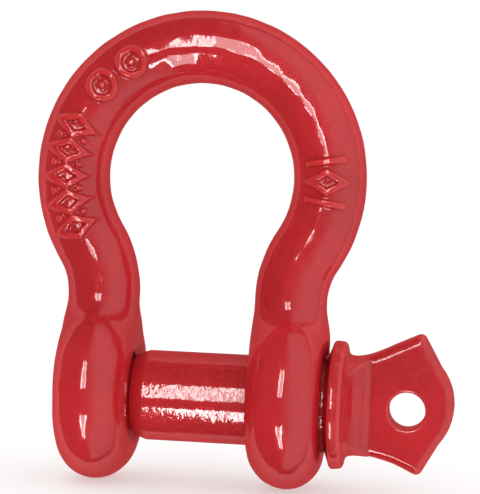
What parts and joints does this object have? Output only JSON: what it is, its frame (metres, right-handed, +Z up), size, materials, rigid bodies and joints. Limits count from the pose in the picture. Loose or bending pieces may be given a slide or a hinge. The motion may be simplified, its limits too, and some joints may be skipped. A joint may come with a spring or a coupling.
{
  "type": "screw-pin bow shackle",
  "caption": "Red enamelled screw-pin bow shackle with a collared, flat-eyed pin screwed into a threaded ear.",
  "frame": {"origin": "the crown's inner seat, midway between the ears, where the shackle hangs on a hook", "axes": "+Z up from the pin to the crown, +X along the pin towards its eye, Y through the bow"},
  "size_m": [0.0758, 0.0308, 0.0841],
  "materials": {
    "bow_enamel": "glossy red enamel on forged steel",
    "pin_enamel": "glossy red enamel with orange peel"
  },
  "bodies": {
    "bow": {"bow": "bow_enamel"},
    "pin_collar": {"pin_collar": "pin_enamel"},
    "screw_pin": {"screw_pin": "pin_enamel"}
  },
  "joints": [
    {"name": "pin_travel", "type": "slide", "parent": "bow", "child": "pin_collar", "axis": [1, 0, 0], "range_m": [0, 0.05137]},
    {"name": "pin_turn", "type": "hinge", "parent": "pin_collar", "child": "screw_pin", "pos_m": [0, 0, -0.0558], "axis": [1, 0, 0], "range_deg": [0, 8010]}
  ],
  "couplings": [
    {"joint": "pin_turn", "follows": "pin_travel", "rad_per_m": 2721.1}
  ]
}
